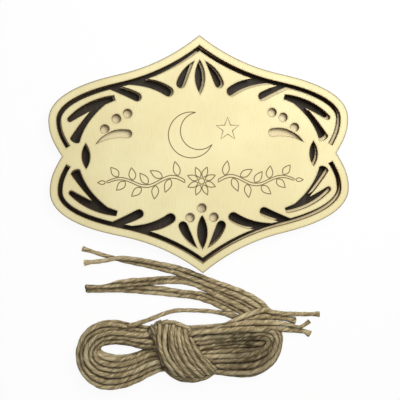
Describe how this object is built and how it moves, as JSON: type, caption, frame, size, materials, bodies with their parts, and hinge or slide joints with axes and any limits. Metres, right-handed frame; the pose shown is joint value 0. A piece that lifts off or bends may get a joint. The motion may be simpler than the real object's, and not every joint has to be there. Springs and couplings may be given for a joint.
{
  "type": "layered fretwork wall plaque with twine hank",
  "caption": "A lobed wooden plaque in three glued layers with fretwork leaves and border slots over a dark back, and a tied hank of jute twine beside it.",
  "frame": {"origin": "Middle of the plaque's back face. The plaque lies face up on its back.", "axes": "+Z out of the plaque's face, +X to its right and +Y to its top, as it is read. The hank lies on the same surface, towards -Y."},
  "size_m": [0.1, 0.1162, 0.0104],
  "materials": {
    "face_wood": "pale plywood, laser cut, edges burnt dark brown",
    "ledge_wood": "pale plywood, smoked tan by the cutting",
    "dark_wood": "dark stained thin board",
    "jute": "twisted jute twine with loose fibres"
  },
  "bodies": {
    "plaque": {"front_panel": "face_wood", "middle_panel": "ledge_wood", "back_panel": "dark_wood"},
    "hank": {"twine_winding": "jute", "twine_wrap": "jute", "arch_strand": "jute", "left_tail_1": "jute", "left_tail_2": "jute", "left_tail_3": "jute", "left_tail_4": "jute", "left_tail_5": "jute", "left_tail_6": "jute", "right_tail_1": "jute", "right_tail_2": "jute", "right_tail_3": "jute"}
  },
  "joints": [
    {"name": "hank_lift", "type": "slide", "parent": "plaque", "child": "hank", "axis": [0, 0, 1], "range_m": [0, 0.05]}
  ]
}
